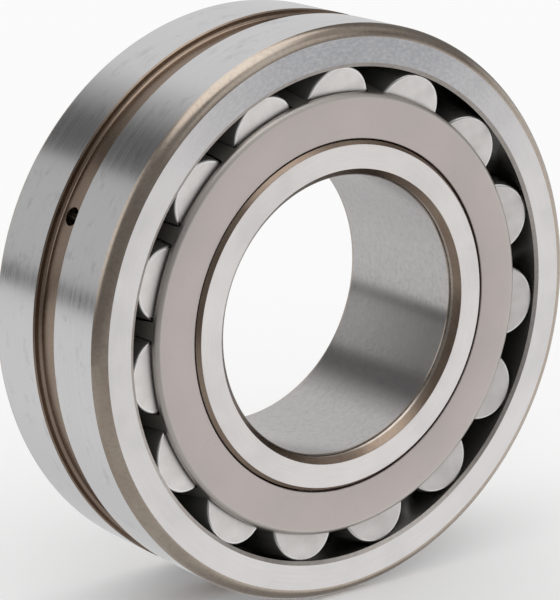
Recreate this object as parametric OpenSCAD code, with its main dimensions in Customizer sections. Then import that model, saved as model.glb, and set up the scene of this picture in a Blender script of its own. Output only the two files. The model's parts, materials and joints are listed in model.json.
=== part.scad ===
// Spherical roller bearing with a tapered bore, drawn as it comes apart on a bench.
// Two rows of barrel rollers run in one spherical raceway, so the inner ring can tilt in the
// outer ring. The bearing axis lies along Y, the front side faces -Y and holds the small end of
// the bore. The origin is the centre of the spherical raceway. All sizes are in millimetres.

/* [Boundary sizes] */
// Outside diameter of the outer ring
outer_d = 62; // [61.5:0.1:64]
// Width of both rings
width = 20; // [19.8:0.1:20.6]
// Bore diameter at the small, front end
bore_d = 30; // [28:0.5:30.5]
// The bore widens by 1 mm in diameter over this many mm of width
bore_taper = 12; // [12, 30]

/* [Ring edges] */
// Radial size of the rounded corner between a side face and the outside
corner_radial = 1.3; // [1:0.05:1.5]
// Axial size of the same corner
corner_axial = 1.15; // [1:0.05:1.4]
// Radius of the rounding on that corner
corner_r = 1.6; // [1.3:0.1:2.5]
// Size of the chamfers at the ends of the bore
bore_chamfer = 0.9; // [0.6:0.05:1.2]
// Radial size of the bevel at the edge of the outer ring's raceway
raceway_bevel = 0.5; // [0.3:0.05:0.7]
// Angle between that bevel and the side face
raceway_bevel_angle = 28; // [20:1:45]
// Size of the bevel between the inner ring's raceways and its side faces
shoulder_bevel = 0.4; // [0.2:0.05:0.6]

/* [Oil groove] */
// Width of the groove round the outer ring
groove_w = 3.7; // [3:0.1:5]
// Depth of the groove
groove_depth = 0.85; // [0.5:0.05:1.2]
// Radius in the groove's corners
groove_fillet = 0.4; // [0.2:0.05:0.5]
// Size of the broken edge on each side of the groove
groove_bevel = 0.15; // [0.1:0.05:0.3]
// Number of oil holes in the groove
hole_count = 3; // [1:1:6]
// Diameter of an oil hole
hole_d = 2; // [1:0.1:2.5]
// Angle of the first oil hole, from +X towards +Z, in degrees
hole_angle = 154.6; // [0:0.1:360]

/* [Raceways] */
// Radius of the outer ring's spherical raceway
raceway_r = 28.32; // [28.2:0.02:28.4]
// Angle between a roller's contact line and the middle plane, in degrees
contact_angle = 11.8; // [11.6:0.05:12]
// Play between a roller and each of the two raceways
rolling_gap = 0.02; // [0.02:0.005:0.04]

/* [Rollers] */
// Number of rollers in a row
roller_count = 15; // [12:1:15]
// Angle of the front row's first roller, from +X towards +Z, in degrees
first_roller_angle = 18.5; // [0:0.5:24]
// Diameter at the middle of a roller
roller_d = 8.4; // [8.3:0.05:8.5]
// Length of a roller
roller_l = 7.6; // [7.5:0.05:7.7]
// Radius of the rounding at a roller's ends
roller_corner_r = 0.3; // [0.2:0.05:0.6]
// Radius of the barrel's side as a share of the raceway radius
barrel_share = 0.98; // [0.97:0.005:0.99]

/* [Cages and guide ring] */
// Thickness of the cage's sheet
sheet_t = 0.6; // [0.5:0.05:0.65]
// Outside radius of the bend between a cage's flange and its body
bend_r = 0.65; // [0.65:0.05:0.8]
// Distance from a ring's side face back to the cage's flange
flange_recess = 0.3; // [0.25:0.05:0.35]
// Play between a cage's flange and the inner ring
flange_gap = 0.15; // [0.1:0.05:0.4]
// Distance from a roller's axis out to the outside of the cage's body
body_offset = 1.1; // [1:0.05:1.2]
// Width of the closed rim at the inner end of a cage
rim_w = 0.7; // [0.4:0.05:0.8]
// Play between a roller and the sides of its pocket
pocket_side_gap = 0.1; // [0.05:0.01:0.2]
// Play between a roller and the ends of its pocket
pocket_end_gap = 0.2; // [0.1:0.02:0.2]
// Play between the guide ring and the rollers' ends
guide_gap = 0.1; // [0.08:0.01:0.15]
// Play between the guide ring and the inner ring
guide_fit_gap = 0.05; // [0.02:0.01:0.1]
// Outside diameter of the guide ring
guide_d = 48.4; // [46:0.1:48.6]

/* [Hidden] */
$fn = 96;

outer_r = outer_d / 2;
half_w = width / 2;
groove_r = outer_r - groove_depth;
bore_front_r = bore_d / 2;
bore_rear_r = bore_front_r + width / bore_taper / 2;

// The roller centres lie on the contact line, at this distance from the origin.
roller_r = roller_d / 2;
centre_dist = raceway_r - rolling_gap - roller_r;
pitch_r = centre_dist * cos(contact_angle);
row_offset = centre_dist * sin(contact_angle);
roller_pitch = 360 / roller_count;
barrel_r = raceway_r * barrel_share;

// The end rounding starts this far outside the barrel, so the two meet at a slight edge.
corner_overlap = 0.02;

// The inner raceway's arc, seen in section: its centre lies on the same contact line.
inner_arc_r = raceway_r;
inner_arc_dist = centre_dist - roller_r - rolling_gap + inner_arc_r;
inner_arc_centre = inner_arc_dist * [cos(contact_angle), sin(contact_angle)];

// Radius of the inner raceway where it meets the side face.
shoulder_r = inner_arc_centre[0] - sqrt(pow(inner_arc_r, 2) - pow(half_w - inner_arc_centre[1], 2));

// The guide ring sits on a narrow land between the two inner raceways.
land_half_w = 0.48;
land_r = inner_arc_centre[0] - sqrt(pow(inner_arc_r, 2) - pow(land_half_w - inner_arc_centre[1], 2));

// Radius at which the spherical raceway meets the side face.
raceway_edge_r = sqrt(pow(raceway_r, 2) - pow(half_w, 2));

// Centre of the arc that rounds the outer ring's corner from the face to the outside.
corner_chord = norm([corner_radial, corner_axial]);
corner_arc_dist = sqrt(pow(corner_r, 2) - pow(corner_chord / 2, 2));
corner_centre = [
    outer_r - corner_radial / 2 - corner_arc_dist * corner_axial / corner_chord,
    half_w - corner_axial / 2 - corner_arc_dist * corner_radial / corner_chord
];

// A cage's flange, and the centre of its bend as distances along and across a roller's axis.
flange_front = half_w - flange_recess;
flange_bore_r = shoulder_r + flange_gap;
bend_across = body_offset - bend_r;
bend_along = (flange_front - bend_r - row_offset - bend_across * sin(contact_angle)) / cos(contact_angle);
bend_centre = [
    pitch_r + bend_across * cos(contact_angle) - bend_along * sin(contact_angle),
    flange_front - bend_r
];
pocket_half_l = roller_l / 2 + pocket_end_gap;
body_end = pocket_half_l + rim_w;

GROUND_STEEL = [0.74, 0.73, 0.73];
ROLLER_STEEL = [0.80, 0.79, 0.78];
CAGE_STEEL = [0.66, 0.63, 0.60];

ROWS = ["front", "rear"];

// Name of a roller's node, such as front_roller_07.
function roller_name(row, k) = str(row, "_roller_", k < 10 ? "0" : "", k);

// Turns a bearing drawn along Z, front up, so that its axis lies along Y and its front faces -Y.
module bearing_axis() {
    rotate([90, 0, 0]) children();
}

// Draws half a section and its mirror image. A section has the radius as x and the width as y.
module both_sides() {
    children();
    mirror([0, 1]) children();
}

// Puts a row's children in their row: the rear row mirrors the front one, half a pitch round.
module in_row(row) {
    if (row == "front") children();
    else rotate(roller_pitch / 2) mirror([0, 0, 1]) children();
}

// Puts a child at the front row's roller k, with Z along its axis and X along the contact line.
module at_roller(k) {
    rotate(first_roller_angle + (k - 1) * roller_pitch)
        translate([pitch_r, 0, row_offset])
            rotate([0, -contact_angle, 0]) children();
}

// Section of the rounded corner that is cut from the outer ring.
module corner_cut() {
    difference() {
        translate([outer_r - corner_radial, half_w - corner_axial])
            square([corner_radial + 1, corner_axial + 1]);
        translate(corner_centre) circle(corner_r);
    }
}

// Section of the bevel at the edge of the spherical raceway.
module raceway_bevel_cut() {
    edge = raceway_edge_r + raceway_bevel;
    slope = tan(raceway_bevel_angle);
    polygon([[edge + 1, half_w + slope], [edge - 2, half_w + slope], [edge - 2, half_w - 2 * slope]]);
}

// Section of the oil groove: a round-cornered channel with broken edges.
module oil_groove_cut() {
    half_groove = groove_w / 2;
    translate([groove_r + groove_fillet, -half_groove]) square([groove_depth, groove_w]);
    translate([groove_r, groove_fillet - half_groove]) square([groove_depth, groove_w - 2 * groove_fillet]);
    both_sides() {
        translate([groove_r + groove_fillet, half_groove - groove_fillet]) circle(groove_fillet);
        polygon([
            [outer_r - groove_bevel, 0],
            [outer_r - groove_bevel, half_groove],
            [outer_r + groove_bevel, half_groove + 2 * groove_bevel],
            [outer_r + groove_bevel, 0]
        ]);
    }
}

module outer_ring_section() {
    difference() {
        translate([0, -half_w]) square([outer_r, width]);
        circle(raceway_r);
        oil_groove_cut();
        both_sides() {
            corner_cut();
            raceway_bevel_cut();
        }
    }
}

// Radial holes from the groove to the raceway.
module oil_holes() {
    for (k = [0:hole_count - 1])
        rotate(hole_angle + k * 360 / hole_count)
            translate([raceway_r - 2, 0, 0])
                rotate([0, 90, 0]) cylinder(d = hole_d, h = outer_r - raceway_r + 4);
}

module outer_ring() {
    color(GROUND_STEEL) bearing_axis() difference() {
        rotate_extrude() outer_ring_section();
        oil_holes();
    }
}

// The ring's blank: straight outside, tapered bore, and a chamfer at each end of the bore.
module inner_ring_blank() {
    chamfer_run = bore_chamfer / bore_taper / 2;
    polygon([
        [bore_front_r + bore_chamfer, half_w],
        [bore_front_r + chamfer_run, half_w - bore_chamfer],
        [bore_rear_r - chamfer_run, bore_chamfer - half_w],
        [bore_rear_r + bore_chamfer, -half_w],
        [land_r, -half_w],
        [land_r, half_w]
    ]);
}

module inner_ring_section() {
    bevel_r = shoulder_r - shoulder_bevel;
    difference() {
        inner_ring_blank();
        both_sides() {
            translate(inner_arc_centre) circle(inner_arc_r);
            polygon([[bevel_r - 1, half_w + 1], [bevel_r + 2, half_w + 1], [bevel_r + 2, half_w - 2]]);
        }
    }
}

module inner_ring() {
    color(GROUND_STEEL) bearing_axis() rotate_extrude() inner_ring_section();
}

// Half width of the guide ring at radius r: its sides face the rollers' inner ends.
function guide_half_w(r) = row_offset
    - (roller_l / 2 + guide_gap - (r - pitch_r) * sin(contact_angle)) / cos(contact_angle);

// A loose wedge-shaped ring that keeps the two rows of rollers apart.
module guide_ring() {
    bore_r = land_r + guide_fit_gap;
    rim_r = guide_d / 2;
    color(GROUND_STEEL) bearing_axis() rotate_extrude() polygon([
        [bore_r, guide_half_w(bore_r)],
        [rim_r, guide_half_w(rim_r)],
        [rim_r, -guide_half_w(rim_r)],
        [bore_r, -guide_half_w(bore_r)]
    ]);
}

// The hollow inside a cage's bend, bounded by the back of the flange and the inside of the body.
module cage_hollow_section() {
    inner_bend_r = bend_r - sheet_t;
    reach = 2 * body_end;
    translate(bend_centre + inner_bend_r * [(1 - sin(contact_angle)) / cos(contact_angle), 1])
        polygon([[0, 0], reach * [sin(contact_angle), -cos(contact_angle)], [-reach, -reach], [-reach, 0]]);
}

// Section of a cage: a flat flange, a bend, and a body parallel to the rollers' axes.
module cage_section() {
    difference() {
        union() {
            translate([flange_bore_r, flange_front - sheet_t])
                square([bend_centre[0] - flange_bore_r, sheet_t]);
            translate(bend_centre) circle(bend_r);
            translate([pitch_r, row_offset]) rotate(contact_angle)
                translate([body_offset - sheet_t, -body_end]) square([sheet_t, body_end + bend_along]);
        }
        cage_hollow_section();
    }
}

// Outline of a pocket, with sides that follow the barrel.
module pocket_outline() {
    half_gap = roller_r + pocket_side_gap;
    intersection() {
        square([roller_d * 2, 2 * pocket_half_l], center = true);
        translate([half_gap - barrel_r, 0]) circle(barrel_r);
        translate([barrel_r - half_gap, 0]) circle(barrel_r);
    }
}

// A pressed sheet cage with a closed pocket for each roller.
module cage() {
    difference() {
        rotate_extrude() cage_section();
        for (k = [1:roller_count])
            at_roller(k) translate([-body_offset, 0, 0])
                rotate([90, 0, 90]) linear_extrude(body_offset * 3) pocket_outline();
    }
}

module front_cage() {
    color(CAGE_STEEL) bearing_axis() in_row("front") cage();
}

module rear_cage() {
    color(CAGE_STEEL) bearing_axis() in_row("rear") cage();
}

// Section of the rounded corner that is cut from each end of a roller.
module roller_corner_cut() {
    corner_y = roller_l / 2 - roller_corner_r;
    barrel_there = roller_r - barrel_r + sqrt(pow(barrel_r, 2) - pow(corner_y, 2));
    corner_x = barrel_there + corner_overlap - roller_corner_r;
    difference() {
        translate([corner_x, corner_y]) square(roller_r);
        translate([corner_x, corner_y]) circle(roller_corner_r);
    }
}

// Half the lengthwise section of a roller: a barrel with flat ends and rounded end corners.
module roller_section() {
    difference() {
        intersection() {
            translate([roller_r - barrel_r, 0]) circle(barrel_r);
            translate([0, -roller_l / 2]) square([roller_d, roller_l]);
        }
        both_sides() roller_corner_cut();
    }
}

module roller(row, k) {
    color(ROLLER_STEEL) bearing_axis() in_row(row) at_roller(k) rotate_extrude() roller_section();
}

outer_ring();
inner_ring();
guide_ring();
front_cage();
rear_cage();
for (row = ROWS) for (k = [1:roller_count])
    roller(row, k);
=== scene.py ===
import json
import math

import bmesh
import bpy
from mathutils import Matrix, Vector

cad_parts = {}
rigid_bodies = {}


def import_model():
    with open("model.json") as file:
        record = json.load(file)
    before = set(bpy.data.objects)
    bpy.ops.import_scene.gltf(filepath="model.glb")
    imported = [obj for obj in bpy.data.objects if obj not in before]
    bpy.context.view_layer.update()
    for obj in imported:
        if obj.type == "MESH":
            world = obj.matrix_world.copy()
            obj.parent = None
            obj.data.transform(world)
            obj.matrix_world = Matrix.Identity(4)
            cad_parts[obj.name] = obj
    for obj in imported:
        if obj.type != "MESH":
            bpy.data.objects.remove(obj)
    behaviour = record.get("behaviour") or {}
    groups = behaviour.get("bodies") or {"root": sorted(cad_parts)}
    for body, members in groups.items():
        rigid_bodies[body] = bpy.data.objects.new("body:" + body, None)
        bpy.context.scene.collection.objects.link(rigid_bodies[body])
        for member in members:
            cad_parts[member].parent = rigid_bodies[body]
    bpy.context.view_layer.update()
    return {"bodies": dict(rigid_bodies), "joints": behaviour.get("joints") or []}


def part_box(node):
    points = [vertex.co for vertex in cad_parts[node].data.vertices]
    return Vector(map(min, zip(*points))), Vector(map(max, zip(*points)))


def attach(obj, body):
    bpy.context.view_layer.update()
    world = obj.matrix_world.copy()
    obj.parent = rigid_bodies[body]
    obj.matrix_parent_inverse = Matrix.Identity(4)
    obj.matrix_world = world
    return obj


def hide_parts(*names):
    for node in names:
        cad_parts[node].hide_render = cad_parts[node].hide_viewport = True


# Looks of a spherical roller bearing. Every ring, cage and roller is turned or cut again here as a
# finer mesh in the place of its CAD node, with its ground, scaled and matt zones kept apart.
# Sections are written in millimetres as (radius, height), where height runs along the bearing
# axis towards the front side, which faces -Y.

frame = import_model()

# ---- Sizes from the frame ---------------------------------------------------------------------

MM = 0.001
JOINTS = {joint["name"]: joint for joint in frame["joints"]}
FIRST_ROLLER = JOINTS["front_roller_01_spin"]
FIRST_CENTRE = Vector(FIRST_ROLLER["pos_m"]) / MM
ROLLER_COUNT = sum(name.startswith("front_roller") for name in frame["bodies"])

OUTER_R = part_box("outer_ring")[1].x / MM
HALF_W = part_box("outer_ring")[1].y / MM
PITCH_R = math.hypot(FIRST_CENTRE.x, FIRST_CENTRE.z)
ROW_OFFSET = -FIRST_CENTRE.y
CONTACT = math.acos(FIRST_ROLLER["axis"][1])
GUIDE_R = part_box("guide_ring")[1].x / MM

# ---- Sizes of the sections, in millimetres and degrees ----------------------------------------

RACEWAY_R = 28.32
RACEWAY_BEVEL = 0.5
RACEWAY_BEVEL_ANGLE = 28
ROLLING_GAP = 0.02
CORNER_RADIAL = 1.3
CORNER_AXIAL = 1.15
CORNER_R = 1.6
GROOVE_W = 3.7
GROOVE_DEPTH = 0.85
GROOVE_FILLET = 0.4
GROOVE_BEVEL = 0.15
HOLE_D = 2.0
HOLE_COUNT = 3
HOLE_ANGLE = 154.6
HOLE_CUTTER_SPARE = 2.0

BORE_FRONT_R = 15.0
BORE_TAPER = 12
BORE_CHAMFER = 0.9
BORE_EDGE_R = 0.8
SHOULDER_BEVEL = 0.4
LAND_HALF_W = 0.48
GUIDE_GAP = 0.1
GUIDE_FIT_GAP = 0.05

CENTRE_DIST = math.hypot(PITCH_R, ROW_OFFSET)
ROLLER_R = RACEWAY_R - ROLLING_GAP - CENTRE_DIST
ROLLER_L = 7.6
ROLLER_CORNER_R = 0.3
CORNER_OVERLAP = 0.02
RIM_START = 50
BARREL_FIT = 0.98
BARREL_R = RACEWAY_R * BARREL_FIT
RACEWAY_EDGE_R = math.sqrt(RACEWAY_R**2 - HALF_W**2) + RACEWAY_BEVEL

SHEET_T = 0.6
BEND_R = 0.65
FLANGE_RECESS = 0.3
FLANGE_GAP = 0.15
FLANGE_EDGE_R = 0.12
BODY_OFFSET = 1.1
RIM_W = 0.7
POCKET_SIDE_GAP = 0.1
POCKET_END_GAP = 0.2

RING_STEPS = 240
ROLLER_STEPS = 72
HOLE_STEPS = 48

# ---- Section geometry -------------------------------------------------------------------------


def arc(centre, radius, start_deg, end_deg, steps, zone):
    """Points of an arc, each with the zone of the stretch that follows it."""
    points = []
    for i in range(steps + 1):
        angle = math.radians(start_deg + (end_deg - start_deg) * i / steps)
        x = centre[0] + radius * math.cos(angle)
        y = centre[1] + radius * math.sin(angle)
        points.append((x, y, zone))
    return points


def angle_to(centre, point):
    """Direction from centre to point, in degrees."""
    return math.degrees(math.atan2(point[1] - centre[1], point[0] - centre[0]))


def circles_cross(first, first_r, second, second_r):
    """The crossing of two circles that lies farther up."""
    gap = Vector(second) - Vector(first)
    along = (gap.length_squared + first_r**2 - second_r**2) / (2 * gap.length)
    across = math.sqrt(first_r**2 - along**2)
    unit = gap.normalized()
    foot = Vector(first) + unit * along
    side = Vector((-unit.y, unit.x)) * across
    return max(foot + side, foot - side, key=lambda point: point.y)


def rounded_corner(before, corner, after, radius, zone, next_zone):
    """Points of the arc that rounds a section's corner between two straight stretches."""
    corner = Vector(corner)
    back = (Vector(before) - corner).normalized()
    ahead = (Vector(after) - corner).normalized()
    half_angle = back.angle(ahead) / 2
    reach = radius / math.tan(half_angle)
    centre = corner + (back + ahead).normalized() * radius / math.sin(half_angle)
    start = angle_to(centre, corner + back * reach)
    turn = (angle_to(centre, corner + ahead * reach) - start + 180) % 360 - 180
    points = arc(centre, radius, start, start + turn, 8, zone)
    return points[:-1] + [(*points[-1][:2], next_zone)]


def mirror_image(half):
    """The other half of a section that starts on the middle plane; each stretch keeps its zone."""
    return [(half[i][0], -half[i][1], half[i - 1][2]) for i in range(len(half) - 1, 0, -1)]


def raceway_end():
    """Where the bevel, running in from the face, meets the outer ring's spherical raceway."""
    face_edge = Vector((RACEWAY_EDGE_R, HALF_W))
    angle = math.radians(RACEWAY_BEVEL_ANGLE)
    slope = Vector((math.cos(angle), math.sin(angle)))
    reach = slope.dot(face_edge)
    run = reach - math.sqrt(reach**2 - face_edge.length_squared + RACEWAY_R**2)
    return face_edge - slope * run


def outer_corner_centre():
    """Centre of the arc that rounds the outer ring from its face to its outside."""
    chord = math.hypot(CORNER_RADIAL, CORNER_AXIAL)
    depth = math.sqrt(CORNER_R**2 - (chord / 2) ** 2)
    return (
        OUTER_R - CORNER_RADIAL / 2 - depth * CORNER_AXIAL / chord,
        HALF_W - CORNER_AXIAL / 2 - depth * CORNER_RADIAL / chord,
    )


def outer_ring_section():
    """Raceway, bevel, face, corner, outside and groove of the outer ring."""
    bevel = raceway_end()
    corner = outer_corner_centre()
    outside_start = (OUTER_R, HALF_W - CORNER_AXIAL)
    corner_start_deg = angle_to(corner, (OUTER_R - CORNER_RADIAL, HALF_W))
    corner_end_deg = angle_to(corner, outside_start)
    half_groove = GROOVE_W / 2
    fillet = (OUTER_R - GROOVE_DEPTH + GROOVE_FILLET, half_groove - GROOVE_FILLET)
    half = arc((0, 0), RACEWAY_R, 0, angle_to((0, 0), bevel), 20, "raceway")[:-1]
    half += [(*bevel, "bevel"), (RACEWAY_EDGE_R, HALF_W, "face")]
    half += arc(corner, CORNER_R, corner_start_deg, corner_end_deg, 10, "corner")[:-1]
    half += [
        (*outside_start, "outside"),
        (OUTER_R, half_groove + GROOVE_BEVEL, "scale"),
        (OUTER_R - GROOVE_BEVEL, half_groove, "scale"),
    ]
    half += arc(fillet, GROOVE_FILLET, 90, 180, 6, "scale")
    return half + mirror_image(half)


def inner_arc():
    """Centre and radius of the front inner raceway's arc."""
    distance = CENTRE_DIST - ROLLER_R - ROLLING_GAP + RACEWAY_R
    return (distance * math.cos(CONTACT), distance * math.sin(CONTACT)), RACEWAY_R


def inner_raceway_r(height):
    """Radius of the front inner raceway at a height."""
    centre, radius = inner_arc()
    return centre[0] - math.sqrt(radius**2 - (height - centre[1]) ** 2)


def inner_ring_section():
    """Tapered bore, chamfers, faces, bevels, raceways and the land between them."""
    bore_rear_r = BORE_FRONT_R + HALF_W / BORE_TAPER
    chamfer_run = BORE_CHAMFER / BORE_TAPER / 2
    face_r = inner_raceway_r(HALF_W) - SHOULDER_BEVEL
    bevel_z = HALF_W - SHOULDER_BEVEL
    centre, radius = inner_arc()
    top = angle_to(centre, (inner_raceway_r(bevel_z), bevel_z)) % 360
    bottom = angle_to(centre, (inner_raceway_r(LAND_HALF_W), LAND_HALF_W)) % 360
    front = arc(centre, radius, top, bottom, 20, "raceway")
    rear = [(r, -z, zone) for r, z, zone in reversed(front)]
    rear_chamfer = (bore_rear_r + BORE_CHAMFER, -HALF_W)
    rear_edge = (bore_rear_r - chamfer_run, BORE_CHAMFER - HALF_W)
    front_edge = (BORE_FRONT_R + chamfer_run, HALF_W - BORE_CHAMFER)
    front_chamfer = (BORE_FRONT_R + BORE_CHAMFER, HALF_W)
    section = [(*rear_chamfer, "scale")]
    section += rounded_corner(rear_chamfer, rear_edge, front_edge, BORE_EDGE_R, "lip", "bore")
    section += rounded_corner(rear_edge, front_edge, front_chamfer, BORE_EDGE_R, "lip", "scale")
    section += [(*front_chamfer, "face"), (face_r, HALF_W, "scale")]
    return section + front + rear + [(face_r, -HALF_W, "face")]


def guide_half_w(radius):
    """Half width of the guide ring, whose sides face the rollers' inner ends."""
    reach = ROLLER_L / 2 + GUIDE_GAP - (radius - PITCH_R) * math.sin(CONTACT)
    return ROW_OFFSET - reach / math.cos(CONTACT)


def guide_ring_section():
    """A loose wedge-shaped ring between the rows."""
    bore_r = inner_raceway_r(LAND_HALF_W) + GUIDE_FIT_GAP
    return [
        (bore_r, -guide_half_w(bore_r), "raceway"),
        (bore_r, guide_half_w(bore_r), "raceway"),
        (GUIDE_R, guide_half_w(GUIDE_R), "raceway"),
        (GUIDE_R, -guide_half_w(GUIDE_R), "raceway"),
    ]


def along_roller(across, along):
    """A section point given across and along the front row's roller axis."""
    sin, cos = math.sin(CONTACT), math.cos(CONTACT)
    return PITCH_R + across * cos - along * sin, ROW_OFFSET + across * sin + along * cos


def cage_section():
    """Flange, bend and body of the front cage, with softly rounded flange edges."""
    front = HALF_W - FLANGE_RECESS
    back = front - SHEET_T
    bore_r = inner_raceway_r(HALF_W) + FLANGE_GAP
    across = BODY_OFFSET - BEND_R
    along = (front - BEND_R - ROW_OFFSET - across * math.sin(CONTACT)) / math.cos(CONTACT)
    bend = along_roller(across, along)
    inner_bend_r = BEND_R - SHEET_T
    apex = (bend[0] + inner_bend_r * (1 - math.sin(CONTACT)) / math.cos(CONTACT), back)
    end = ROLLER_L / 2 + POCKET_END_GAP + RIM_W
    edge = FLANGE_EDGE_R
    section = arc((bore_r + edge, back + edge), edge, 270, 180, 4, "flange")
    section += arc((bore_r + edge, front - edge), edge, 180, 90, 4, "flange")
    section += arc(bend, BEND_R, 90, math.degrees(CONTACT), 14, "bend")[:-1]
    section += [
        (*along_roller(BODY_OFFSET, along), "body"),
        (*along_roller(BODY_OFFSET, -end), "body"),
        (*along_roller(BODY_OFFSET - SHEET_T, -end), "body"),
        (*apex, "body"),
    ]
    return section


def roller_section():
    """Half a roller's lengthwise section, from one end's centre to the other's."""
    half_l = ROLLER_L / 2
    corner_z = half_l - ROLLER_CORNER_R
    barrel = (ROLLER_R - BARREL_R, 0)
    barrel_there = barrel[0] + math.sqrt(BARREL_R**2 - corner_z**2)
    corner = (barrel_there + CORNER_OVERLAP - ROLLER_CORNER_R, corner_z)
    start = circles_cross(corner, ROLLER_CORNER_R, barrel, BARREL_R)
    half = arc(barrel, BARREL_R, 0, angle_to(barrel, start), 10, "barrel")[:-1]
    half += arc(corner, ROLLER_CORNER_R, angle_to(corner, start), RIM_START, 4, "barrel")[:-1]
    half += arc(corner, ROLLER_CORNER_R, RIM_START, 90, 3, "rim")[:-1]
    half += [(corner[0], half_l, "end"), (corner[0] * 0.5, half_l, "end"), (0, half_l, "end")]
    return mirror_image(half) + half


# ---- Mesh building ----------------------------------------------------------------------------

# Turns a section's height from Z to -Y, the front side.
FRONT_UP = Matrix.Rotation(math.radians(90), 4, "X")
SHARP_ANGLE = math.radians(28)
ZONE_EDGE_ANGLE = math.radians(4)
SOFTENED_ANGLE = math.radians(35)


def turned_mesh(name, section, steps, closed=True):
    """Turns a section about Z. Material slots follow the order in which zones first appear."""
    zones = []
    for point in section:
        if point[2] not in zones:
            zones.append(point[2])
    bm = bmesh.new()
    rings = []
    for radius, height, _ in section:
        ring = []
        for i in range(steps if radius > 0 else 1):
            angle = 2 * math.pi * i / steps
            place = Vector((radius * math.cos(angle), radius * math.sin(angle), height))
            ring.append(bm.verts.new(place * MM))
        rings.append(ring)
    last = len(section) if closed else len(section) - 1
    for k in range(last):
        low, high = rings[k], rings[(k + 1) % len(rings)]
        for i in range(steps):
            j = (i + 1) % steps
            corners = [low[i % len(low)], low[j % len(low)], high[j % len(high)], high[i % len(high)]]
            face = bm.faces.new(list(dict.fromkeys(corners)))
            face.material_index = zones.index(section[k][2])
            face.smooth = True
    bmesh.ops.recalc_face_normals(bm, faces=bm.faces)
    mesh = bpy.data.meshes.new(name)
    bm.to_mesh(mesh)
    bm.free()
    return mesh, zones


def sharpen(mesh):
    """Marks edges sharp where two zones meet at an edge or the surface turns sharply."""
    bm = bmesh.new()
    bm.from_mesh(mesh)
    for edge in bm.edges:
        if len(edge.link_faces) != 2:
            continue
        first, second = edge.link_faces
        angle = edge.calc_face_angle(0)
        zone_edge = first.material_index != second.material_index and angle > ZONE_EDGE_ANGLE
        edge.smooth = not (zone_edge or angle > SHARP_ANGLE)
    bm.to_mesh(mesh)
    bm.free()


def new_object(name, mesh, zones, materials):
    """An object with one material slot per zone."""
    for zone in zones:
        mesh.materials.append(materials[zone])
    obj = bpy.data.objects.new(name, mesh)
    bpy.context.scene.collection.objects.link(obj)
    return obj


def apply_modifiers(obj):
    """Replaces an object's mesh by the result of its modifiers."""
    graph = bpy.context.evaluated_depsgraph_get()
    mesh = bpy.data.meshes.new_from_object(obj.evaluated_get(graph))
    obj.modifiers.clear()
    obj.data = mesh


def cut(obj, cutter):
    """Cuts one mesh out of an object."""
    modifier = obj.modifiers.new("cut", "BOOLEAN")
    modifier.operation = "DIFFERENCE"
    modifier.solver = "EXACT"
    modifier.object = cutter
    apply_modifiers(obj)
    bpy.data.objects.remove(cutter)


def soften_edges(obj, width_mm):
    """Breaks the sharp edges by a hair so that they catch light."""
    modifier = obj.modifiers.new("edges", "BEVEL")
    modifier.width = width_mm * MM
    modifier.segments = 2
    modifier.limit_method = "ANGLE"
    modifier.angle_limit = SOFTENED_ANGLE
    modifier.harden_normals = True


# ---- Materials --------------------------------------------------------------------------------


class Nodes:
    """Short calls for the shader nodes used here. A value can be a number or another node's output."""

    def __init__(self, tree):
        self.tree = tree

    def link(self, source, target):
        if isinstance(source, bpy.types.NodeSocket):
            self.tree.links.new(source, target)
        elif isinstance(source, float | int) and target.type == "RGBA":
            target.default_value = rgb(source, source, source)
        else:
            target.default_value = source

    def math(self, operation, first, second=0.0, third=0.0):
        node = self.tree.nodes.new("ShaderNodeMath")
        node.operation = operation
        for value, socket in zip((first, second, third), node.inputs):
            self.link(value, socket)
        return node.outputs[0]

    def xyz(self, vector):
        node = self.tree.nodes.new("ShaderNodeSeparateXYZ")
        self.link(vector, node.inputs[0])
        return node.outputs

    def dot(self, first, second):
        node = self.tree.nodes.new("ShaderNodeVectorMath")
        node.operation = "DOT_PRODUCT"
        for value, socket in zip((first, second), node.inputs):
            self.link(value, socket)
        return node.outputs["Value"]

    def vector(self, x, y, z):
        node = self.tree.nodes.new("ShaderNodeCombineXYZ")
        for value, socket in zip((x, y, z), node.inputs):
            self.link(value, socket)
        return node.outputs[0]

    def ramp(self, value, stops):
        """A grey ramp over -180 to 180 degrees, given as stops of (degrees, brightness)."""
        node = self.tree.nodes.new("ShaderNodeValToRGB")
        elements = node.color_ramp.elements
        while len(elements) < len(stops):
            elements.new(0.5)
        for element, (degrees, level) in zip(elements, stops):
            element.position = degrees / 360 + 0.5
            element.color = rgb(level, level, level)
        self.link(value, node.inputs[0])
        return node.outputs[0]

    def noise(self, vector, scale, detail=3.0, roughness=0.55):
        node = self.tree.nodes.new("ShaderNodeTexNoise")
        self.link(vector, node.inputs["Vector"])
        node.inputs["Scale"].default_value = scale
        node.inputs["Detail"].default_value = detail
        node.inputs["Roughness"].default_value = roughness
        return node.outputs["Fac"]

    def spread(self, value, low, high, to_low=0.0, to_high=1.0):
        """Maps a value from low..high to another range, clamped."""
        node = self.tree.nodes.new("ShaderNodeMapRange")
        for item, socket in zip((value, low, high, to_low, to_high), node.inputs):
            self.link(item, socket)
        return node.outputs[0]

    def mix(self, factor, first, second):
        """Blends two colours."""
        node = self.tree.nodes.new("ShaderNodeMix")
        node.data_type = "RGBA"
        self.link(factor, node.inputs[0])
        self.link(first, node.inputs[6])
        self.link(second, node.inputs[7])
        return node.outputs[2]


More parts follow.
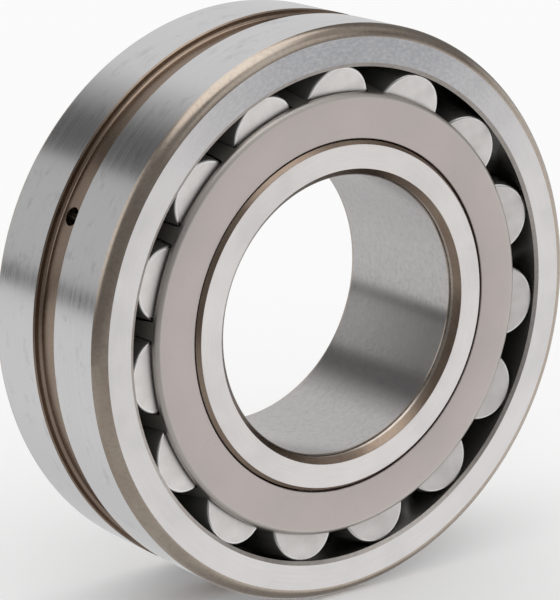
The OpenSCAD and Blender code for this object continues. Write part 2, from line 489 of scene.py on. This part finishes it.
class Shader(Nodes):
    """A material under construction, metal at first. Its coordinates are the mesh's own, in metres."""

    def __init__(self, name):
        self.material = bpy.data.materials.new(name)
        self.material.use_nodes = True
        super().__init__(self.material.node_tree)
        self.bsdf = self.tree.nodes["Principled BSDF"]
        self.bsdf.inputs["Metallic"].default_value = 1.0
        self.coords = self.tree.nodes.new("ShaderNodeTexCoord").outputs["Object"]

    def polar(self, radial=1.0, around=1.0, along=1.0):
        """Coordinates that follow a ring about Y, in mm: out from the axis, round it, and along it."""
        x, y, z = self.xyz(self.coords)
        squares = self.math("ADD", self.math("MULTIPLY", x, x), self.math("MULTIPLY", z, z))
        radius = self.math("SQRT", squares)
        angle = self.math("ARCTAN2", z, x)
        return self.vector(
            self.math("MULTIPLY", radius, radial / MM),
            self.math("MULTIPLY", angle, around * OUTER_R),
            self.math("MULTIPLY", y, along / MM),
        )

    def patch(self, angle_deg, inner_deg, outer_deg):
        """1 near an angle about Y, and 0 farther round than outer_deg."""
        x, _, z = self.xyz(self.coords)
        turn = self.math("SUBTRACT", self.math("ARCTAN2", z, x), math.radians(angle_deg))
        distance = self.math("ABSOLUTE", turn)
        return self.spread(distance, math.radians(inner_deg), math.radians(outer_deg), 1.0, 0.0)

    def bump(self, height, distance_mm):
        """Small relief whose highest points stand distance_mm proud."""
        node = self.tree.nodes.new("ShaderNodeBump")
        node.inputs["Distance"].default_value = distance_mm * MM
        self.link(height, node.inputs["Height"])
        self.tree.links.new(node.outputs[0], self.bsdf.inputs["Normal"])

    def brushed(self, amount, axis="Y"):
        """Stretches highlights across grinding marks that run round an axis."""
        node = self.tree.nodes.new("ShaderNodeTangent")
        node.direction_type = "RADIAL"
        node.axis = axis
        self.bsdf.inputs["Anisotropic"].default_value = amount
        self.tree.links.new(node.outputs[0], self.bsdf.inputs["Tangent"])

    def finish(self, color, roughness):
        self.link(color, self.bsdf.inputs["Base Color"])
        self.link(roughness, self.bsdf.inputs["Roughness"])
        return self.material


def rgb(red, green, blue):
    return (red, green, blue, 1.0)


def ground_outside():
    """Outside of the outer ring: fine grinding marks round it, with a few grey handling stains."""
    shader = Shader("ground_outside")
    grain = shader.noise(shader.polar(1, 0.06, 9), 1.0, 4)
    cloud = shader.noise(shader.polar(1, 0.5, 0.9), 0.7, 4, 0.65)
    stain = shader.spread(cloud, 0.56, 0.70, 0.0, 0.35)
    color = shader.mix(shader.spread(grain, 0.3, 0.7), rgb(0.60, 0.595, 0.60), rgb(0.66, 0.65, 0.65))
    color = shader.mix(stain, color, rgb(0.36, 0.36, 0.38))
    shader.bump(grain, 0.0006)
    shader.brushed(0.35)
    return shader.finish(color, shader.spread(grain, 0.3, 0.7, 0.14, 0.22))


def ground_face(name, light, dark, painted_top_shade=0.0):
    """Ground side face of a ring. Its last argument paints a mottled bluish shade near the top."""
    shader = Shader(name)
    grain = shader.noise(shader.polar(7, 0.15, 1), 1.0, 4)
    cloud = shader.noise(shader.coords, 160, 4, 0.6)
    color = shader.mix(shader.spread(grain, 0.3, 0.7), light, dark)
    color = shader.mix(shader.spread(cloud, 0.5, 0.75, 0.0, 0.15), color, rgb(0.55, 0.55, 0.58))
    marks = shader.noise(shader.polar(3, 1.4, 1), 1.0, 6, 0.75)
    mottle = shader.spread(marks, 0.35, 0.6, 0.6 * painted_top_shade, painted_top_shade)
    # Painted shade near the top, where the grinding marks reflect less light, broken up by mottled
    # marks.
    patch = shader.math("MULTIPLY", shader.patch(86, 18, 62), mottle)
    color = shader.mix(patch, color, rgb(0.33, 0.34, 0.365))
    shader.bump(grain, 0.0008)
    return shader.finish(color, shader.spread(cloud, 0.3, 0.7, 0.34, 0.44))


def thin_scale(name, light, dark, shine):
    """Thin bronze-brown scale that heat treatment leaves where a ring isn't ground."""
    shader = Shader(name)
    patches = shader.noise(shader.polar(1, 0.25, 1), 0.35, 4, 0.6)
    fine = shader.noise(shader.coords, 2400, 3)
    color = shader.mix(shader.spread(patches, 0.38, 0.62), light, dark)
    color = shader.mix(shader.spread(fine, 0.45, 0.8, 0.0, 0.3), color, rgb(0.17, 0.14, 0.12))
    shader.bump(fine, 0.002)
    return shader.finish(color, shader.spread(patches, 0.3, 0.7, shine, shine + 0.1))


def bore_ground():
    """Finely ground bore with a fine speckle, darker on one side near the front."""
    shader = Shader("bore_ground")
    grain = shader.noise(shader.polar(1, 0.5, 2), 0.8, 5, 0.65)
    speck = shader.noise(shader.coords, 1900, 4, 0.7)
    color = shader.mix(shader.spread(grain, 0.3, 0.7), rgb(0.475, 0.46, 0.457), rgb(0.51, 0.495, 0.49))
    color = shader.mix(shader.spread(speck, 0.45, 0.75, 0.0, 0.3), color, rgb(0.30, 0.29, 0.285))
    _, y, _ = shader.xyz(shader.coords)
    front = shader.spread(y, -7 * MM, 6 * MM, 0.66, 0.16)
    # Darker on one side of the bore, most towards the front.
    dark_side_patch = shader.math("MULTIPLY", shader.patch(-24, 12, 18), front)
    color = shader.mix(dark_side_patch, color, rgb(0.125, 0.12, 0.105))
    shader.bump(speck, 0.0005)
    return shader.finish(color, shader.spread(speck, 0.3, 0.7, 0.18, 0.27))


def polished_raceway():
    """Honed raceway. Its dark colour is painted shade, for the gap between the rings where it lies."""
    shader = Shader("polished_raceway")
    grain = shader.noise(shader.polar(1, 0.05, 10), 1.0, 3)
    color = shader.mix(grain, rgb(0.15, 0.145, 0.135), rgb(0.21, 0.20, 0.19))
    shader.bump(grain, 0.0004)
    shader.bsdf.inputs["Metallic"].default_value = 0.7
    return shader.finish(color, 0.22)


def cage_sheet(name, light, dark, roughness, metallic=1.0):
    """Pressed cage sheet with a matt, warm grey surface treatment. Its darker copies paint shade on
    the sheet.
    """
    shader = Shader(name)
    fine = shader.noise(shader.coords, 2600, 3)
    cloud = shader.noise(shader.coords, 110, 3)
    color = shader.mix(shader.spread(cloud, 0.35, 0.65), light, dark)
    color = shader.mix(shader.spread(fine, 0.62, 0.8, 0.0, 0.2), color, rgb(0.25, 0.23, 0.22))
    shader.bump(fine, 0.003)
    shader.bsdf.inputs["Metallic"].default_value = metallic
    return shader.finish(color, roughness)


def roller_end():
    """Flat roller end, a little duller in places."""
    shader = Shader("roller_end")
    cloud = shader.noise(shader.coords, 420, 4, 0.6)
    fine = shader.noise(shader.coords, 3200, 2)
    color = shader.mix(shader.spread(cloud, 0.35, 0.7), rgb(0.85, 0.82, 0.805), rgb(0.77, 0.74, 0.725))
    shader.bump(fine, 0.002)
    return shader.finish(color, shader.spread(cloud, 0.3, 0.7, 0.46, 0.56))


def roller_rim():
    """Bright broken edge round a roller's end."""
    shader = Shader("roller_rim")
    fine = shader.noise(shader.coords, 2600, 2)
    shader.bump(fine, 0.001)
    return shader.finish(rgb(0.72, 0.71, 0.70), shader.spread(fine, 0.3, 0.7, 0.16, 0.24))


def roller_barrel():
    """Ground side of a roller. Its dark colour is painted shade, for the gap between the rings where
    it lies.
    """
    shader = Shader("roller_barrel")
    fine = shader.noise(shader.coords, 1500, 3)
    shader.bump(fine, 0.0005)
    shader.brushed(0.3, "Z")
    shader.bsdf.inputs["Metallic"].default_value = 0.7
    return shader.finish(rgb(0.20, 0.195, 0.185), shader.spread(fine, 0.3, 0.7, 0.16, 0.22))


MATERIALS = {
    "outside": ground_outside(),
    # The outer ring's face gets the painted shade near the top.
    "face": ground_face("ground_face", rgb(0.77, 0.745, 0.74), rgb(0.72, 0.70, 0.695), 0.85),
    "inner_face": ground_face("ground_inner_face", rgb(0.79, 0.755, 0.74), rgb(0.74, 0.71, 0.70)),
    "corner": thin_scale("scale_bronze", rgb(0.42, 0.35, 0.29), rgb(0.49, 0.425, 0.36), 0.19),
    "scale": thin_scale("scale_brown", rgb(0.27, 0.20, 0.155), rgb(0.34, 0.265, 0.205), 0.22),
    "lip": thin_scale("scale_lip", rgb(0.44, 0.38, 0.33), rgb(0.52, 0.46, 0.41), 0.13),
    "bevel": thin_scale("scale_grey", rgb(0.50, 0.455, 0.42), rgb(0.58, 0.54, 0.51), 0.28),
    "bore": bore_ground(),
    "raceway": polished_raceway(),
    "flange": cage_sheet("cage_flange", rgb(0.63, 0.565, 0.55), rgb(0.59, 0.535, 0.51), 0.5),
    # The bend is the flange's sheet made a little darker: painted shade on the rounded bend.
    "bend": cage_sheet("cage_bend", rgb(0.61, 0.565, 0.53), rgb(0.56, 0.52, 0.49), 0.44),
    # The body is the flange's sheet painted dark: painted shade between the rollers.
    "body": cage_sheet("cage_body_painted_shade", rgb(0.17, 0.16, 0.14), rgb(0.12, 0.115, 0.10), 0.5, 0.5),
    "end": roller_end(),
    "rim": roller_rim(),
    "barrel": roller_barrel(),
}

# ---- Pieces -----------------------------------------------------------------------------------


def stand_for(obj, node):
    """An own mesh takes a CAD node's place and motion."""
    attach(obj, node)
    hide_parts(node)


def hole_cutter():
    """Round pins at the places of the oil holes, as one mesh with no point on the middle plane."""
    bm = bmesh.new()
    length = (OUTER_R - RACEWAY_R + 2 * HOLE_CUTTER_SPARE) * MM
    for k in range(HOLE_COUNT):
        place = (
            Matrix.Rotation(math.radians(HOLE_ANGLE + k * 360 / HOLE_COUNT), 4, "Z")
            @ Matrix.Translation(((OUTER_R + RACEWAY_R) / 2 * MM, 0, 0))
            @ Matrix.Rotation(math.radians(90), 4, "Y")
            @ Matrix.Rotation(math.pi / HOLE_STEPS, 4, "Z")
        )
        bmesh.ops.create_cone(
            bm,
            cap_ends=True,
            segments=HOLE_STEPS,
            radius1=HOLE_D / 2 * MM,
            radius2=HOLE_D / 2 * MM,
            depth=length,
            matrix=place,
        )
    mesh = bpy.data.meshes.new("hole_cutter")
    bm.to_mesh(mesh)
    bm.free()
    return mesh


def make_outer_ring():
    mesh, zones = turned_mesh("outer_ring", outer_ring_section(), RING_STEPS)
    obj = new_object("bearing_outer_ring", mesh, zones, MATERIALS)
    cutter = new_object("hole_cutter", hole_cutter(), ["scale"], MATERIALS)
    cut(obj, cutter)
    obj.data.transform(FRONT_UP)
    sharpen(obj.data)
    stand_for(obj, "outer_ring")


def make_inner_ring():
    mesh, zones = turned_mesh("inner_ring", inner_ring_section(), RING_STEPS)
    mesh.transform(FRONT_UP)
    sharpen(mesh)
    obj = new_object("bearing_inner_ring", mesh, zones, {**MATERIALS, "face": MATERIALS["inner_face"]})
    soften_edges(obj, 0.05)
    stand_for(obj, "inner_ring")


def make_guide_ring():
    mesh, zones = turned_mesh("guide_ring", guide_ring_section(), RING_STEPS)
    mesh.transform(FRONT_UP)
    sharpen(mesh)
    obj = new_object("bearing_guide_ring", mesh, zones, MATERIALS)
    soften_edges(obj, 0.06)
    stand_for(obj, "guide_ring")


def row_angle(row, k):
    """Angle of a roller about the bearing axis, read from its joint."""
    x, _, z = JOINTS[f"{row}_roller_{k:02d}_spin"]["pos_m"]
    return math.atan2(z, x)


def pocket_cutter():
    """The pockets of the front cage as one mesh, each with sides that follow the barrel."""
    half_l = ROLLER_L / 2 + POCKET_END_GAP
    half_w = ROLLER_R + POCKET_SIDE_GAP
    end_deg = math.degrees(math.asin(half_l / BARREL_R))
    side = arc((half_w - BARREL_R, 0), BARREL_R, -end_deg, end_deg, 10, "body")
    outline = [(r, z) for r, z, _ in side] + [(-r, -z) for r, z, _ in side]
    bm = bmesh.new()
    for k in range(1, ROLLER_COUNT + 1):
        place = (
            Matrix.Rotation(row_angle("front", k), 4, "Z")
            @ Matrix.Translation((PITCH_R * MM, 0, ROW_OFFSET * MM))
            @ Matrix.Rotation(-CONTACT, 4, "Y")
        )
        low = [bm.verts.new(place @ (Vector((-BODY_OFFSET, y, z)) * MM)) for y, z in outline]
        high = [bm.verts.new(place @ (Vector((2 * BODY_OFFSET, y, z)) * MM)) for y, z in outline]
        bm.faces.new(low)
        bm.faces.new(high)
        for i in range(len(outline)):
            j = (i + 1) % len(outline)
            bm.faces.new((low[i], low[j], high[j], high[i]))
    bmesh.ops.recalc_face_normals(bm, faces=bm.faces)
    mesh = bpy.data.meshes.new("pocket_cutter")
    bm.to_mesh(mesh)
    bm.free()
    return mesh


def make_cages():
    """Cuts the front cage, then mirrors it and turns it half a pitch for the rear one."""
    mesh, zones = turned_mesh("front_cage", cage_section(), RING_STEPS)
    front = new_object("bearing_front_cage", mesh, zones, MATERIALS)
    cutter = new_object("pocket_cutter", pocket_cutter(), ["body"], MATERIALS)
    cut(front, cutter)
    sharpen(front.data)
    rear_mesh = front.data.copy()
    half_pitch = Matrix.Rotation(math.pi / ROLLER_COUNT, 4, "Z")
    rear_mesh.transform(FRONT_UP @ half_pitch @ Matrix.Scale(-1, 4, (0, 0, 1)))
    rear_mesh.flip_normals()
    front.data.transform(FRONT_UP)
    rear = bpy.data.objects.new("bearing_rear_cage", rear_mesh)
    bpy.context.scene.collection.objects.link(rear)
    stand_for(front, "front_cage")
    stand_for(rear, "rear_cage")


def make_rollers():
    """All rollers share one mesh, turned about its own Z and laid along each joint's axis."""
    mesh, zones = turned_mesh("roller", roller_section(), ROLLER_STEPS, closed=False)
    sharpen(mesh)
    for zone in zones:
        mesh.materials.append(MATERIALS[zone])
    for row in ("front", "rear"):
        for k in range(1, ROLLER_COUNT + 1):
            node = f"{row}_roller_{k:02d}"
            joint = JOINTS[node + "_spin"]
            obj = bpy.data.objects.new("bearing_" + node, mesh)
            bpy.context.scene.collection.objects.link(obj)
            turn = Vector(joint["axis"]).to_track_quat("Z", "X").to_matrix().to_4x4()
            obj.matrix_world = Matrix.Translation(joint["pos_m"]) @ turn
            stand_for(obj, node)


make_outer_ring()
make_inner_ring()
make_guide_ring()
make_cages()
make_rollers()

# ---- Studio -----------------------------------------------------------------------------------

# In metres.
FLOOR_SIZE = 3.0


def make_floor():
    """A plain, nearly white floor under the bearing. It is kept out of sharp reflections."""
    bm = bmesh.new()
    bmesh.ops.create_grid(bm, x_segments=1, y_segments=1, size=FLOOR_SIZE / 2)
    mesh = bpy.data.meshes.new("floor")
    bm.to_mesh(mesh)
    bm.free()
    floor = bpy.data.objects.new("floor", mesh)
    floor.location.z = -OUTER_R * MM
    bpy.context.scene.collection.objects.link(floor)
    shader = Shader("floor_pale")
    shader.bsdf.inputs["Metallic"].default_value = 0.0
    shader.bsdf.inputs["Specular IOR Level"].default_value = 0.0
    mesh.materials.append(shader.finish(rgb(0.96, 0.96, 0.96), 0.9))
    floor.visible_glossy = False


# The studio as a shiny surface sees it. In front there is a dark room with soft cards in it, each
# painted over the ones before: (where it is, its reach and soft edge in degrees, brightness).
# In this order they are the floor and a shadow on it, a window on the left, the rear part of the
# lamp overhead, the lamp itself, the wall on the right, a gap beside the lamp, and two cards in
# front. The side faces mirror the last one.
ROOM_LIGHT = 0.24
CARDS = [
    (Vector((0.0, 0.0, -1.0)), 75, 6, 0.57),
    (Vector((0.45, 0.0, -0.9)), 27, 9, 0.34),
    (Vector((-0.87, 0.33, 0.40)), 21, 4, 1.15),
    (Vector((0.0, 0.40, 0.92)), 18, 5, 1.25),
    (Vector((0.04, -0.12, 0.99)), 31, 5, 1.65),
    (Vector((0.96, 0.0, -0.20)), 26, 6, 0.85),
    (Vector((0.60, -0.28, 0.75)), 16, 6, 0.50),
    (Vector((0.33, -0.80, 0.49)), 17, 4, 0.94),
    (Vector((0.74, -0.66, -0.36)), 28, 4, 0.98),
]

# Behind the bearing, where the outside and the bore mirror it, the studio goes round its axis:
# (turn in degrees from +X towards +Z, brightness). It fades in over BACK_START, a range of Y.
BACK_LIGHT = 0.84
BACK_WALL = 0.60
BACK_DARK = 0.13
BACK = [
    (-180.0, BACK_WALL),
    (-179.2, BACK_DARK),
    (-172.5, BACK_DARK),
    (-170.5, BACK_LIGHT),
    (-125.0, BACK_LIGHT),
    (-90.0, 0.72),
    (-60.0, 0.66),
    (20.0, 0.76),
    (50.0, BACK_LIGHT),
    (84.0, BACK_LIGHT),
    (112.0, BACK_DARK),
    (130.0, BACK_DARK),
    (132.0, BACK_WALL),
    (180.0, BACK_WALL),
]
BACK_START = (0.55, 0.66)


def make_world():
    """Plain white to the eye and for soft light; the studio for sharp reflections."""
    world = bpy.data.worlds.new("studio")
    bpy.context.scene.world = world
    world.use_nodes = True
    world.cycles.sampling_method = "NONE"
    tree = world.node_tree
    nodes = Nodes(tree)
    direction = tree.nodes.new("ShaderNodeTexCoord").outputs["Generated"]
    x, y, z = nodes.xyz(direction)
    front = rgb(ROOM_LIGHT, ROOM_LIGHT, ROOM_LIGHT)
    for place, reach, soft, level in CARDS:
        nearness = nodes.dot(direction, place.normalized())
        outer = math.cos(math.radians(reach + soft))
        inner = math.cos(math.radians(reach - soft))
        front = nodes.mix(nodes.spread(nearness, outer, inner), front, level)
    turn = nodes.math("ARCTAN2", z, x)
    back = nodes.ramp(nodes.math("MULTIPLY_ADD", turn, 0.5 / math.pi, 0.5), BACK)
    studio = nodes.mix(nodes.spread(y, *BACK_START), front, back)
    path = tree.nodes.new("ShaderNodeLightPath")
    seen = nodes.mix(path.outputs["Is Glossy Ray"], rgb(1, 1, 1), studio)
    nodes.link(seen, tree.nodes["Background"].inputs["Color"])


# Angles in degrees, distances in metres, and the lens and the sensor's width in millimetres.
CAMERA_AZIMUTH = -36.62
CAMERA_ELEVATION = 15.32
CAMERA_DISTANCE = 0.3128
CAMERA_SHIFT = (-0.00087, -0.00025)
CAMERA_LENS = 174.5
CAMERA_SENSOR = 36.0
CAMERA_NEAREST = 0.01


def make_camera():
    """Looks at the bearing from the left of its front side and a little from above."""
    data = bpy.data.cameras.new("camera")
    data.lens = CAMERA_LENS
    data.sensor_width = CAMERA_SENSOR
    data.clip_start = CAMERA_NEAREST
    camera = bpy.data.objects.new("camera", data)
    round_z = Matrix.Rotation(math.radians(CAMERA_AZIMUTH), 4, "Z")
    tilt = Matrix.Rotation(math.radians(90 - CAMERA_ELEVATION), 4, "X")
    camera.matrix_world = round_z @ tilt @ Matrix.Translation((*CAMERA_SHIFT, CAMERA_DISTANCE))
    bpy.context.scene.collection.objects.link(camera)
    bpy.context.scene.camera = camera


make_floor()
make_world()
make_camera()
bpy.context.scene.view_settings.view_transform = "Standard"
